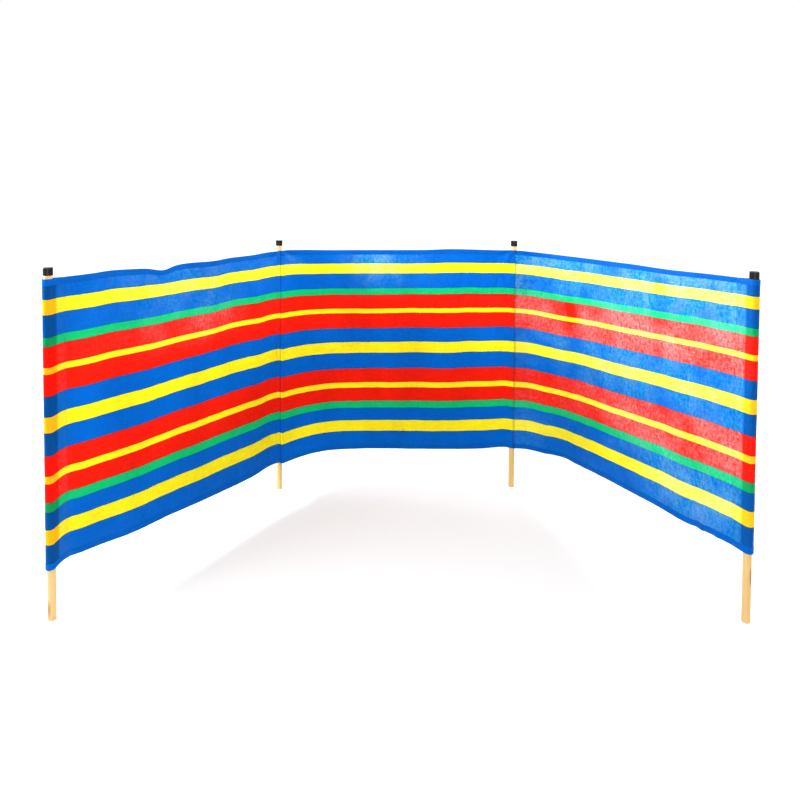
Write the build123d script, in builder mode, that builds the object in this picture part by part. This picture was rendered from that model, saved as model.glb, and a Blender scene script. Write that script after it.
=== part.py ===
"""Beach windbreak: one long sheet of striped woven cloth, in three bays, on four pine poles.

It stands as a U on level ground. The origin is the foot of the left inner pole, on its axis. +Z is up,
+X runs along the middle bay to the right inner pole, and +Y points out of the back of the U, so the
two end poles stand forward, towards -Y. Left and right are those of someone sitting in the U's mouth
and looking at the middle bay.
"""

import os
from math import cos, radians, sin

from build123d import *

# ---------------------------------------------------------------------------
# Driving dimensions, in millimetres and degrees
# ---------------------------------------------------------------------------

# Poles: planed round pine, pushed up through pockets in the cloth
pole_diameter = 28.0
pole_height = 1200.0        # ground to the top of the cap
foot_chamfer = 2.0

# Plastic caps pressed over the pole tops
cap_wall = 1.6
cap_crown = 2.5             # thickness over the pole's end
cap_depth = 26.0            # over all
cap_fit = 0.1               # radial play between cap and pole
cap_rounding = 1.2

# How the bays stand, from pole axis to pole axis
middle_span = 1125.0
left_span = 1115.0
right_span = 1160.0
left_turn = 55.5            # how far each side bay turns forward out of the middle bay's line
right_turn = 58.5

# The cloth
cloth_height = 1000.0       # of the flat sheet, hem to hem
cloth_thickness = 1.2
hem_width = 22.0
hem_layers = 2              # the hem is folded double

# At each pole: how far the top hem hangs below the cap, and how much of the sheet's height is
# gathered up there. The negative one is stretched.
top_drops = {"left_end": 8.0, "left_inner": 27.0, "right_inner": 14.0, "right_end": 2.0}
gathers = {"left_end": 2.0, "left_inner": -13.0, "right_inner": 23.0, "right_end": 68.0}

# The belly of each bay: how far the sheet blows out of the line between its poles at its bottom and
# at its top, and the two inner control points of its curve, each as a part of the span and a part
# of the belly. The bay that was pulled tight lies nearly straight.
bellies = {"left": (14.0, 4.0), "middle": (115.0, 85.0), "right": (125.0, 95.0)}
belly_curves = {
    "left": ((0.70, 1.0), (0.95, 2.0)),
    "middle": ((0.19, 1.75), (0.37, 0.85)),
    "right": ((0.10, 2.15), (0.43, 0.65)),
}

# Pockets that hold the poles
pocket_play = 0.3           # between pole and cloth
pocket_reach = 58.0         # end pockets: pole axis to the seam
seam_depth = 7.2            # along the sheet, where a pocket's two sides are sewn together
seam_edge = 0.1             # width of the edge that the hollow of an end pocket closes to
seam_gap = 0.3              # between a pocket and the bay that swings beside it

# ---------------------------------------------------------------------------
# Values worked out from them
# ---------------------------------------------------------------------------

pole_radius = pole_diameter / 2
cap_bore_radius = pole_radius + cap_fit
cap_radius = cap_bore_radius + cap_wall
pole_top = pole_height - cap_crown
pocket_inner_radius = pole_radius + pocket_play
pocket_radius = pocket_inner_radius + cloth_thickness
panel_start = pocket_radius + seam_gap

cap_foot = pole_height - cap_depth
cloth_top = {name: cap_foot - drop for name, drop in top_drops.items()}
cloth_foot = {name: cloth_top[name] - cloth_height + gathers[name] for name in gathers}

# Each bay has a plane of its own on the ground: origin on its first pole's axis, X to its other pole
left_heading = 180 + left_turn
right_heading = -right_turn


def bay_plane(x, y, heading):
    """Ground plane at (x, y), with its X axis at this heading."""
    return Plane(
        origin=(x, y, 0),
        x_dir=(cos(radians(heading)), sin(radians(heading)), 0),
        z_dir=(0, 0, 1),
    )


left_bay = bay_plane(0, 0, left_heading)
middle_bay = bay_plane(0, 0, 0)
right_bay = bay_plane(middle_span, 0, right_heading)

pole_places = {
    "left_end": left_bay.from_local_coords(Vector(left_span, 0, 0)),
    "left_inner": middle_bay.origin,
    "right_inner": right_bay.origin,
    "right_end": right_bay.from_local_coords(Vector(right_span, 0, 0)),
}

os.makedirs("parts", exist_ok=True)


def write(part, label):
    """Label a finished piece and write it to its own file."""
    part.label = label
    export_step(part, f"parts/{label}.step")


# ---------------------------------------------------------------------------
# Poles and caps
# ---------------------------------------------------------------------------


def make_pole(place):
    """A round pole with its foot edge taken off, standing on the ground."""
    with BuildPart() as pole:
        with BuildSketch(Plane(origin=place)):
            Circle(pole_radius)
        extrude(amount=pole_top)
        chamfer(pole.edges().group_by(Axis.Z)[0], foot_chamfer)
    return pole.part


def make_cap(place):
    """A plastic cap: its crown sits on the pole's end and its skirt goes down round it."""
    with BuildPart() as cap:
        with BuildSketch(Plane(origin=place).offset(cap_foot)):
            Circle(cap_radius)
        extrude(amount=cap_depth)
        fillet(cap.edges().group_by(Axis.Z)[-1], cap_rounding)
        with BuildSketch(Plane(origin=place).offset(cap_foot)):
            Circle(cap_bore_radius)
        extrude(amount=cap_depth - cap_crown, mode=Mode.SUBTRACT)
    return cap.part


for name, place in pole_places.items():
    write(make_pole(place), f"{name}_pole")
    write(make_cap(place), f"{name}_cap")


# ---------------------------------------------------------------------------
# Pockets
# ---------------------------------------------------------------------------


def make_inner_pocket(name):
    """The tube of cloth that an inner pole stands in, behind the sheet."""
    with BuildPart() as pocket:
        with BuildSketch(Plane(origin=pole_places[name]).offset(cloth_foot[name])):
            Circle(pocket_radius)
            Circle(pocket_inner_radius, mode=Mode.SUBTRACT)
        extrude(amount=cloth_top[name] - cloth_foot[name])
    return pocket.part


def make_end_pocket(name, bay, span):
    """The end of the sheet, folded round its pole and sewn down on itself at the seam."""
    base = bay.offset(cloth_foot[name])
    height = cloth_top[name] - cloth_foot[name]
    seam = span - pocket_reach
    with BuildPart() as pocket:
        with BuildSketch(base):
            with Locations((span, 0)):
                Circle(pocket_radius)
            with Locations((seam, 0)):
                Rectangle(seam_edge, cloth_thickness, align=(Align.MIN, Align.CENTER))
            make_hull()
        extrude(amount=height)
        with BuildSketch(base):
            with Locations((span, 0)):
                Circle(pocket_inner_radius)
            with Locations((seam + seam_depth, 0)):
                Rectangle(seam_edge, seam_edge, align=(Align.MIN, Align.CENTER))
            make_hull()
        extrude(amount=height, mode=Mode.SUBTRACT)
    return pocket.part


write(make_inner_pocket("left_inner"), "left_inner_pocket")
write(make_inner_pocket("right_inner"), "right_inner_pocket")
write(make_end_pocket("left_end", left_bay, left_span), "left_end_pocket")
write(make_end_pocket("right_end", right_bay, right_span), "right_end_pocket")


# ---------------------------------------------------------------------------
# The sheet, bay by bay
# ---------------------------------------------------------------------------


def belly_outline(start, end, controls, depth, thickness):
    """Plan outline of the sheet at one height: two like curves, a cloth's thickness apart."""
    bows = [(start + along * (end - start), bow * depth) for along, bow in controls]
    curve = [(start, 0), *bows, (end, 0)]
    inner = [(x, y - thickness / 2) for x, y in curve]
    outer = [(x, y + thickness / 2) for x, y in curve]
    Bezier(*inner)
    Line(inner[-1], outer[-1])
    Bezier(*outer)
    Line(inner[0], outer[0])


def slanted(bay, span, edge, shift):
    """Plane through the sheet's edge, from pole to pole, moved up by shift."""
    near, far = edge
    start = bay.from_local_coords(Vector(0, 0, near + shift))
    along = bay.from_local_coords(Vector(span, 0, far + shift)) - start
    return Plane(origin=start, x_dir=along, z_dir=along.cross(bay.y_dir))


def make_band(side, bay, ends, outwards, thickness, low, high, heights):
    """The part of one bay's sheet between the planes low and high.

    ends are where the sheet starts and stops along the bay. outwards is 1 or -1, for the side of
    the bay's plane that the belly is on. heights are below all of the sheet and above it.
    """
    with BuildPart() as band:
        for height, belly in zip(heights, bellies[side]):
            with BuildSketch(bay.offset(height)):
                with BuildLine():
                    belly_outline(*ends, belly_curves[side], outwards * belly, thickness)
                make_face()
        loft()
        split(bisect_by=low, keep=Keep.TOP)
        split(bisect_by=high, keep=Keep.BOTTOM)
    return band.part


def write_bay(side, bay, span, ends, outwards, names):
    """The panel of one bay and its two hems, stacked edge to edge."""
    foot = [cloth_foot[name] for name in names]
    top = [cloth_top[name] for name in names]
    foot_edge = slanted(bay, span, foot, 0)
    foot_seam = slanted(bay, span, foot, hem_width)
    top_seam = slanted(bay, span, top, -hem_width)
    top_edge = slanted(bay, span, top, 0)
    heights = (min(foot) - hem_width, max(top) + hem_width)
    doubled = hem_layers * cloth_thickness
    sheet = (side, bay, ends, outwards)
    write(make_band(*sheet, doubled, foot_edge, foot_seam, heights), f"{side}_bottom_hem")
    write(make_band(*sheet, cloth_thickness, foot_seam, top_seam, heights), f"{side}_panel")
    write(make_band(*sheet, doubled, top_seam, top_edge, heights), f"{side}_top_hem")


# Outwards is +Y in the middle and right bays' planes, and -Y in the left bay's
write_bay(
    "left", left_bay, left_span, (panel_start, left_span - pocket_reach), -1,
    ("left_inner", "left_end"),
)
write_bay(
    "middle", middle_bay, middle_span, (panel_start, middle_span - panel_start), 1,
    ("left_inner", "right_inner"),
)
write_bay(
    "right", right_bay, right_span, (panel_start, right_span - pocket_reach), 1,
    ("right_inner", "right_end"),
)
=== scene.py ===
# %% [markdown]
# # A striped beach windbreak
#
# A windbreak is one long sheet of thin striped cloth, held up by wooden poles that slide into
# pockets sewn in it. This one has four poles and three bays and stands as a U, round the people who
# sit inside it. Its poles, their caps and plain stand-ins for the cloth come ready made. This lesson
# gives them their looks: hung cloth, hems, pockets, stitching, wood, plastic and a white studio.

# %% Load the ready-made pieces
from functools import partial
from math import acos, atan2, cos, exp, hypot, pi, radians, sin

import bpy
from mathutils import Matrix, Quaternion, Vector, noise


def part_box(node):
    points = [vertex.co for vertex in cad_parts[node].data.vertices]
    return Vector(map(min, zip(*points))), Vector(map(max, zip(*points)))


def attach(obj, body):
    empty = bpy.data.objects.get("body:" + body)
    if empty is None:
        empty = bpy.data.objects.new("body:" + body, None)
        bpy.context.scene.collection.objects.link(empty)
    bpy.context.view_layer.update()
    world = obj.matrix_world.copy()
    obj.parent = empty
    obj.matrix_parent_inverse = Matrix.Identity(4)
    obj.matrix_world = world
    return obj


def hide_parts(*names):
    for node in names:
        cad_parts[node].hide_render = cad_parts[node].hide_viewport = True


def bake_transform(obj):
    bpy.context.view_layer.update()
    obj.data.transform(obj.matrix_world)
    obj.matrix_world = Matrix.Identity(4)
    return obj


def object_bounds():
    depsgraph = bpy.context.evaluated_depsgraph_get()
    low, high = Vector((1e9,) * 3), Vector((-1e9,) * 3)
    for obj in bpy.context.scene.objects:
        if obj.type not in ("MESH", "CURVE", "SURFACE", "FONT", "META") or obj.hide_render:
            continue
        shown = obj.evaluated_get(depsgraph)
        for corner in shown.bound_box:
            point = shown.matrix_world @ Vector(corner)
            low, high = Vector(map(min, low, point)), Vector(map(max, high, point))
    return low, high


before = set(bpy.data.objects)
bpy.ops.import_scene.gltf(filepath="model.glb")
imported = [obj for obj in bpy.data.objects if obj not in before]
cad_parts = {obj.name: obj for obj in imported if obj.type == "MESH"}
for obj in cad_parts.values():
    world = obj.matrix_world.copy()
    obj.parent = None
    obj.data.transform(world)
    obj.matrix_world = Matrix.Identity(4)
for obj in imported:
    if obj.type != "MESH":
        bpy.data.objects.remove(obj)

ready_made_low, ready_made_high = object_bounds()
size = ready_made_high - ready_made_low
print("ready made:", len(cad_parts), "pieces,", [round(x, 3) for x in size], "m")

# %% [markdown]
# ## Where things stand
#
# Everything that follows is placed from the poles, so their places are read first. Each bay of cloth
# then gets its own three directions: along the bay from its first pole, inwards to the people who
# sit there, and up. Bends and ripples are much easier to say in those than in X and Y.

# %% Find the poles and the cloth's edges
MM = 0.001
POLES = ("left_end", "left_inner", "right_inner", "right_end")


def axis_of(node):
    """Where the upright middle line of a ready-made piece meets the ground."""
    low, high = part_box(node)
    return Vector(((low[0] + high[0]) / 2, (low[1] + high[1]) / 2, 0))


pole_at = {name: axis_of(f"{name}_pole") for name in POLES}
cloth_foot = {name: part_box(f"{name}_pocket")[0][2] for name in POLES}
cloth_top = {name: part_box(f"{name}_pocket")[1][2] for name in POLES}
for name in POLES:
    x, y, _ = pole_at[name]
    print(f"{name} pole at {x:.3f}, {y:.3f}, cloth from {cloth_foot[name]:.3f} to {cloth_top[name]:.3f} m")


# %% Give each bay its own directions
class Bay:
    """A stretch of cloth from its first pole to its second, seen from inside the U."""

    def __init__(self, first, second, turn):
        self.first, self.second = first, second
        line = pole_at[second] - pole_at[first]
        self.span = line.length
        self.along = line.normalized()
        self.inward = Vector((-self.along.y, self.along.x, 0)) * turn

    def at(self, along, inward, height=0.0):
        return pole_at[self.first] + self.along * along + self.inward * inward + Vector((0, 0, height))

    def local(self, point):
        away = point - pole_at[self.first]
        return away.dot(self.along), away.dot(self.inward)


BAYS = {
    "left": Bay("left_inner", "left_end", 1),
    "middle": Bay("left_inner", "right_inner", -1),
    "right": Bay("right_inner", "right_end", -1),
}
print("spans:", {side: round(bay.span, 3) for side, bay in BAYS.items()})

# %% [markdown]
# ## How the cloth hangs
#
# The sheet passes in front of the two inner poles, which sit in pockets sewn to its back, and it
# turns there in a sharp upright crease. Between the poles it isn't flat. The wind side of each bay
# blows out in a belly that is fullest near the inner pole, the hems sag and lift by a centimetre or
# two, and where a pole's pocket is pushed down the stripes crowd together. A cloth simulation could
# hang such a sheet, but it would lose the crease and the belly's place, so the shape is written down
# here as a few short curves, and the mesh is moved onto them.

# %% Smooth curves through a few values
def mix(a, b, part):
    return a + (b - a) * part


def through(knots, place):
    """The value at place of a smooth curve through a few (place, value) knots."""
    place = min(max(place, knots[0][0]), knots[-1][0])
    i = 0
    while i < len(knots) - 2 and place > knots[i + 1][0]:
        i += 1

    def slope(k):
        a, b = knots[max(k - 1, 0)], knots[min(k + 1, len(knots) - 1)]
        return (b[1] - a[1]) / (b[0] - a[0])

    (x0, y0), (x1, y1) = knots[i], knots[i + 1]
    width = x1 - x0
    t = (place - x0) / width
    rise = (t**3 - 2 * t * t + t) * slope(i) + (t**3 - t * t) * slope(i + 1)
    return (2 * t**3 - 3 * t * t + 1) * y0 + (3 * t * t - 2 * t**3) * y1 + rise * width


print("halfway up a small hill:", round(through([(0, 0), (1, 1), (2, 0)], 0.5), 3))

# %% Where each bay of cloth starts and stops
FRONT = 16 * MM    # the sheet passes this far in front of the middle of an inner pole
CREASE_IN, CREASE_OUT = 8.4 * MM, 4 * MM    # and turns this far inside or outside of it
POCKET_REACH = 58 * MM    # from an end pole's middle to its pocket's seam
crease = {
    "left_inner": BAYS["middle"].at(CREASE_IN, FRONT),
    "right_inner": BAYS["middle"].at(BAYS["middle"].span + CREASE_OUT, FRONT),
}
start, stop = {}, {}
for side, bay in BAYS.items():
    start[side] = bay.local(crease[bay.first])
    ends_at_crease = bay.second in crease
    stop[side] = bay.local(crease[bay.second]) if ends_at_crease else (bay.span - POCKET_REACH, 0.0)
    print(side, "cloth runs", round(start[side][0], 4), "to", round(stop[side][0], 4), "m along its bay")

# %% The belly of each bay
# How deep at the foot and at the top, and the two handles of the curve from pole to pole
BELLY = {"left": (14 * MM, 4 * MM), "middle": (115 * MM, 85 * MM), "right": (125 * MM, 95 * MM)}
BELLY_CURVE = {
    "left": ((0.70, 1.0), (0.95, 2.0)),
    "middle": ((0.19, 1.75), (0.37, 0.85)),
    "right": ((0.10, 2.15), (0.43, 0.65)),
}
POLE_CLEARANCE = 15.8 * MM    # the belly starts this far from the middle of an inner pole
LEAD = 0.25    # the sheet is back on its bay's line this far from a crease


def bow(side, along):
    """How full the belly is at this place, as a part of its depth: a Bezier curve, by halving."""
    last = BAYS[side].span - (POLE_CLEARANCE if side == "middle" else POCKET_REACH)
    place = (along - POLE_CLEARANCE) / (last - POLE_CLEARANCE)
    if not 0 < place < 1:
        return 0.0
    (x1, y1), (x2, y2) = BELLY_CURVE[side]
    low, high = 0.0, 1.0
    for _ in range(24):
        t = (low + high) / 2
        x = 3 * (1 - t) ** 2 * t * x1 + 3 * (1 - t) * t * t * x2 + t**3
        low, high = (t, high) if x < place else (low, t)
    return 3 * (1 - t) ** 2 * t * y1 + 3 * (1 - t) * t * t * y2


def lead(side, along):
    """How the sheet comes back from the front of an inner pole to the bay's own line."""
    first, last = start[side], stop[side]
    if side == "left":
        return first[1] * (last[0] - along) / (last[0] - first[0])
    near = first[1] * max(0.0, 1 - (along - first[0]) / LEAD) ** 2
    far = last[1] * max(0.0, 1 - (last[0] - along) / LEAD) ** 2
    return near + far


for side in BAYS:
    fullest = max(range(1, 100), key=lambda k: bow(side, k / 100 * BAYS[side].span))
    print(side, "belly is fullest", fullest, "% along")

# %% How the hems rise and fall, and where the stripes crowd together
# Percent of the bay's span, and millimetres off the straight line between its poles
TOP_LINE = {
    "left": (
        (0, 3), (8, 2), (16, -3), (28, -4), (36, -9), (48, -6), (66, -7), (79, -1), (86, -4), (100, -4),
    ),
    "middle": ((0, 3), (4, 3), (15, -5), (25, -8), (60, -7), (72, -2), (82, -3), (90, -5), (100, -5)),
    "right": ((0, -6), (5, -12), (10, -16), (18, -18), (45, -13), (56, -10), (70, -9), (88, -1), (100, 1)),
}
FOOT_LINE = {
    "left": (
        (0, -3), (1.2, 3), (7, 6), (16, -7), (40, -12), (57, -9), (70, -12), (85, 3), (90, 8), (96, 20),
        (100, 10),
    ),
    "middle": ((0, -3), (1.2, -8), (6, -9), (15, -7), (30, -6), (60, -5), (85, 2), (96, 16), (100, 10)),
    "right": (
        (0, 10), (8, -11), (12, -9), (18, -7), (24, -13), (36, -12), (50, -8), (65, -2), (76, -5), (86, 3),
        (100, 3),
    ),
}
# Percent of the span, and by how many thousandths the stripes are narrower beside the top hem and
# wider beside the bottom one, or the other way round where it is below 0
CROWDING = {
    "left": ((0, 3), (10, 8), (20, 45), (32, 48), (45, 30), (60, 10), (70, 2), (82, -24), (100, -38)),
    "middle": ((0, 5), (10, 15), (45, 11), (60, 18), (70, 2), (85, 24), (100, 16)),
    "right": (
        (0, 16), (7, 14), (17, -10), (25, 20), (33, 32), (45, 40), (57, 67), (78, 112), (90, 106), (100, 112),
    ),
}
NOTCH, NOTCH_AT = 15 * MM, 0.66    # a dip in the left bay's top hem, and how far along the bay


def fold(distance, width):
    """A smooth bump of height 1 about a line, for folds and dips."""
    return exp(-((distance / width) ** 2))


def height(side, along, up):
    """How high the cloth is, where up goes from 0 at its bottom hem to 1 at its top hem."""
    bay = BAYS[side]
    last = stop[side][0] if side == "middle" else bay.span
    part = min(max((along - start[side][0]) / (last - start[side][0]), 0), 1)
    low = mix(cloth_foot[bay.first], cloth_foot[bay.second], part) + through(FOOT_LINE[side], 100 * part) * MM
    high = mix(cloth_top[bay.first], cloth_top[bay.second], part) + through(TOP_LINE[side], 100 * part) * MM
    crowd = through(CROWDING[side], 100 * part) / 1000
    here = low + (high - low) * ((1 + crowd) * up - crowd * up * up)
    if side == "left":
        here -= NOTCH * fold(along - NOTCH_AT, 0.055) * fold(1 - up, 0.05)
    return here


for side, bay in BAYS.items():
    print(side, "top hem in mid bay is at", round(height(side, bay.span / 2, 1), 3), "m")

# %% [markdown]
# ## Ripples
#
# Thin woven plastic is stiff for its weight. It doesn't fall in soft folds like a curtain but keeps
# long shallow waves, crinkles from being rolled up, and short wrinkles that fan out from wherever a
# pole pulls on it. Smooth noise gives the waves, stretched upright for the crinkles, and each fan is
# a sine wave across the angle round its pole's top. All of it is a few millimetres deep, so it
# shows in the way the stripes and the shine run, not in the outline.

# %% Waves, crinkles and the fans of wrinkles at the poles
def fan(away, down, count, size):
    """Wrinkles that spread from a point and die out over size metres."""
    reach = hypot(away, down)
    return sin(count * atan2(down, away + 1e-6)) * exp(-reach / size) * min(1.0, reach / (12 * MM))


def cloth_place(side, along):
    """Distance along the whole sheet, which runs on through all three bays."""
    return {"left": -along, "middle": along, "right": BAYS["middle"].span + along}[side]


def rough(across, up, scale, seed):
    """Smooth noise between -1 and 1, whose scale is the count of bumps in a metre each way."""
    return noise.noise(Vector((across * scale[0], up * scale[1], seed)))


STILL_ENDS = 0.03    # ripples grow from nothing over this much cloth beside a pole


def ripple(side, along, up):
    """How far the cloth stands inwards here. The depths in the sums are millimetres."""
    across = cloth_place(side, along)
    ends = min(along - start[side][0], max(0.0, stop[side][0] - along)) / STILL_ENDS
    depth = 3.2 * rough(across, up, (4.5, 2.0), 3.7) + 1.5 * rough(across, up, (15.0, 2.6), 11.1)
    depth += 0.8 * rough(across, up, (38.0, 7.0), 5.2) + 0.4 * rough(across, up, (70.0, 34.0), 8.8)
    if side != "left":
        depth += 6.5 * fan(along, 1.01 - up, 9, 0.085)
    if side != "right":
        other = along if side == "left" else BAYS[side].span - along
        depth += 5.5 * fan(other, 1.01 - up, 8, 0.08)
    if side == "left":
        dip = along - NOTCH_AT - 0.005 - 0.03 * (1 - up)
        depth += (6.0 * fold(dip, 0.025) - 3.5 * fold(dip + 0.06, 0.03)) * exp(-(1 - up) / 0.08)
    if side == "right":
        low_down = exp(-up / 0.10)
        sway = 0.010 * sin(up * 55)
        depth += 5.0 * fold(along - 0.985 - sway, 0.010) * low_down
        depth -= 4.0 * fold(along - 0.955 - sway, 0.012) * low_down
        depth += 3.5 * fold(along - 1.05 + sway, 0.008) * low_down
        depth -= 2.2 * fold(along - 0.045, 0.004)
    return depth * min(1.0, ends) * MM


deepest = max(abs(ripple("right", a / 50, u / 20)) for a in range(2, 55) for u in range(21))
print("deepest ripple:", round(deepest / MM, 1), "mm")


# %% Any point of the hung cloth, and which way it faces
def cloth_point(side, along, up):
    deep = mix(*BELLY[side], min(max(up, 0), 1))
    inward = lead(side, along) - bow(side, along) * deep + ripple(side, along, up)
    return BAYS[side].at(along, inward, height(side, along, up))


def cloth_axes(side, along, up):
    """A point of the cloth, the directions along it and up it, and the way its inside faces."""
    step = 1 * MM
    here = cloth_point(side, along, up)
    ahead = (cloth_point(side, along + step, up) - cloth_point(side, along - step, up)).normalized()
    upward = (cloth_point(side, along, up + step) - cloth_point(side, along, up - step)).normalized()
    face = ahead.cross(upward).normalized()
    if face.dot(BAYS[side].inward) < 0:
        face = -face
    return here, ahead, upward, face


def length_of(line):
    return sum((b - a).length for a, b in zip(line, line[1:]))


for side in BAYS:
    row = [cloth_point(side, mix(start[side][0], stop[side][0], k / 100), 0.5) for k in range(101)]
    print(side, "cloth is", round(length_of(row), 3), "m long across its middle")

# %% [markdown]
# ## The three bays
#
# Each bay starts as Blender's flat grid, whose vertices are then moved onto the hung shape. The
# columns crowd together beside a crease, because the cloth bends there when a bay is folded. The
# grid's UV map is kept but rewritten in metres of flat cloth, so the stripes and the weave follow
# the cloth wherever it goes. Solidify gives the sheet its thickness, so it has both faces and an edge.

# %% Small helpers for making meshes
def only(piece):
    bpy.ops.object.select_all(action="DESELECT")
    piece.select_set(True)
    bpy.context.view_layer.objects.active = piece


def apply_modifier(piece, kind, **settings):
    only(piece)
    modifier = piece.modifiers.new(kind.title(), kind)
    for setting, value in settings.items():
        setattr(modifier, setting, value)
    bpy.ops.object.modifier_apply(modifier=modifier.name)


def lay_grid(name, side, alongs, ups, place, shine=None):
    """A flat grid, with a column at each of alongs and a row at each of ups, moved onto the cloth.

    place(along, up) is where a corner goes and shine(along, up) how glossy the film is there, which
    also sets how strong a painted sheen is and, on pockets and hems, which painted shade they get. The
    UV map says where the corner is on the whole sheet while that is still flat, in metres.
    """
    columns, rows = len(alongs) - 1, len(ups) - 1
    bpy.ops.object.select_all(action="DESELECT")
    bpy.ops.mesh.primitive_grid_add(x_subdivisions=columns, y_subdivisions=rows, size=2)
    piece = bpy.context.object
    piece.name = piece.data.name = name
    uv = piece.data.uv_layers.active.data
    corners = []
    for vertex in piece.data.vertices:
        part_x, part_y = (vertex.co.x + 1) / 2, (vertex.co.y + 1) / 2
        corners.append((alongs[round(part_x * columns)], ups[round(part_y * rows)]))
        vertex.co = place(*corners[-1])
    for loop in piece.data.loops:
        along, up = corners[loop.vertex_index]
        uv[loop.index].uv = cloth_place(side, along), up
    glossy = piece.data.attributes.new("shine", "FLOAT", "POINT")
    for value, corner in zip(glossy.data, corners):
        value.value = shine(*corner) if shine else 0.0
    piece.data.update()
    return piece


def weld(piece, distance=0.05 * MM):
    """Joins the corners that meet, and turns all faces outwards."""
    only(piece)
    bpy.ops.object.mode_set(mode="EDIT")
    bpy.ops.mesh.select_all(action="SELECT")
    bpy.ops.mesh.remove_doubles(threshold=distance)
    bpy.ops.mesh.normals_make_consistent(inside=False)
    bpy.ops.object.mode_set(mode="OBJECT")


def thicken(piece, thickness):
    apply_modifier(piece, "SOLIDIFY", thickness=thickness, offset=0)


def smooth(piece, angle=40):
    only(piece)
    bpy.ops.object.shade_smooth_by_angle(angle=radians(angle), keep_sharp_edges=True)
    print(piece.name, len(piece.data.polygons), "faces")


print("helpers ready")

# %% The columns of each bay, closest together beside the creases
CLOTH_THICKNESS = 0.6 * MM
CELL, FINE_CELL = 7.6 * MM, 2.2 * MM
ROWS = 128    # from hem to hem
UPS = [k / ROWS for k in range(ROWS + 1)]


def columns_of(side):
    first, last = start[side][0], stop[side][0]
    near = [first + FINE_CELL * k for k in range(13)]
    far = [last - FINE_CELL * 2 * k for k in range(5)][::-1]
    count = round((far[0] - near[-1]) / CELL)
    between = [mix(near[-1], far[0], k / count) for k in range(1, count)]
    return near + between + far


columns = {side: columns_of(side) for side in BAYS}
print({side: len(places) for side, places in columns.items()}, "columns")

# %% [markdown]
# The film doesn't shine evenly. It lies tightest, and shines most, where the cloth is stretched, and
# hardly at all low down or where the cloth hangs loose. A picture painted by hand could say where,
# but it would have to be kept beside the script, so each mesh stores a number at every point
# instead, in an attribute called shine, and the cloth's material reads it. The number sets the
# weight of the film's glossy coat, and it also paints a pale sheen, a painted highlight, into the
# cloth's colour. On the pockets and hems it also picks their painted shade.

# %% Where the film is glossiest
def ease(value, low, high):
    """0 below low, 1 above high, and a smooth step between."""
    t = min(max((value - low) / (high - low), 0), 1)
    return t * t * (3 - 2 * t)


def shine(side, along, up):
    """The film lies tightest, and its coat shines most, where the cloth is stretched between poles; the same
    value paints a pale sheen into the colour there.
    """
    across = cloth_place(side, along)
    cloudy = rough(across, up, (5.5, 4.5), 21.0) + 0.6 * rough(across, up, (14.0, 11.0), 2.0)
    top_corner = ease(up, 0.86, 0.97)
    if side == "right":
        # Glossy above a line that runs down from the inner pole to the end pole
        line = 0.62 - 0.70 * ease(along, 0.0, 0.9)
        whole = 0.13 + 0.53 * ease(up, line - 0.15, line + 0.25)
        whole += 0.36 * ease(along, 0.35, 1.0) * ease(up, 0.62, 0.92)
        whole += 0.35 * fold(along - 0.03, 0.10) * top_corner
    elif side == "left":
        whole = 0.34 * fold(along - 0.52, 0.30) * ease(up, 0.62, 0.80)
        whole += 0.30 * fold(along - 0.05, 0.08) * top_corner
    else:
        whole = 0.55 * fold(along - 0.50, 0.16) * ease(up, 0.74, 0.92)
        whole += 0.30 * fold(along - 0.04, 0.08) * top_corner
    return min(1.0, max(0.0, whole * (1 + 1.2 * cloudy)))


for spot in ((0.9, 0.9), (0.2, 0.1)):
    print("shine of the right bay at", spot, "is", round(shine("right", *spot), 2))

# %% Make the three sheets
sheet = {}
for side in BAYS:
    sheet[side] = lay_grid(
        f"{side}_sheet", side, columns[side], UPS, partial(cloth_point, side), partial(shine, side),
    )
    thicken(sheet[side], CLOTH_THICKNESS)
    smooth(sheet[side])

# %% [markdown]
# ## The end pockets
#
# At each end of the sheet the cloth is folded round its pole and sewn down on itself. From above
# the fold is a teardrop: two straight sides from the seam, and a loose round nose past the pole.
# The same grid makes it, wrapped round that line and welded where it meets itself.

# %% The teardrop line round an end pole
NOSE, NOSE_SHIFT = 16.2 * MM, 2.0 * MM
NOSE_AT = POCKET_REACH + NOSE_SHIFT    # from the seam to the middle of the nose
TURN = acos(NOSE / NOSE_AT)
STRAIGHT = NOSE_AT * sin(TURN)
TEARDROP = 2 * STRAIGHT + 2 * (pi - TURN) * NOSE


def teardrop(distance):
    """A point that far along the fold, from the seam round the pole and back: (along, inward)."""
    past = distance - STRAIGHT
    if 0 <= past < TEARDROP - 2 * STRAIGHT:
        angle = pi - TURN - past / NOSE
        return NOSE_AT + NOSE * cos(angle), NOSE * sin(angle)
    face, part = (1, distance / STRAIGHT) if past < 0 else (-1, (TEARDROP - distance) / STRAIGHT)
    return part * (NOSE_AT - NOSE * cos(TURN)), face * part * NOSE * sin(TURN)


print("cloth round an end pole:", round(TEARDROP / MM), "mm")


# %% Make the end pockets
AROUND = 46    # columns round the pole


def pocket_point(side, run, up):
    """A point of the sheet where that has run on past its seam, into the fold."""
    distance = run - stop[side][0]
    along, inward = teardrop(distance)
    along += stop[side][0]
    loose = 0.9 * MM * rough(distance, up, (60, 9), len(side)) * sin(pi * distance / TEARDROP)
    return BAYS[side].at(along + max(0.0, loose), inward + loose * 0.6, height(side, along, up))


def pocket_shine_and_painted_shade(side, run, up):
    """The fold is a little glossy near its seam, where it lies flat, and dull round the pole, where the
    pocket also gets its darker painted shade.
    """
    distance = run - stop[side][0]
    flat = 1 - ease(min(distance, TEARDROP - distance), 32 * MM, 44 * MM)
    return 0.03 + 0.65 * flat if side == "right" else 0.08 * flat


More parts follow.
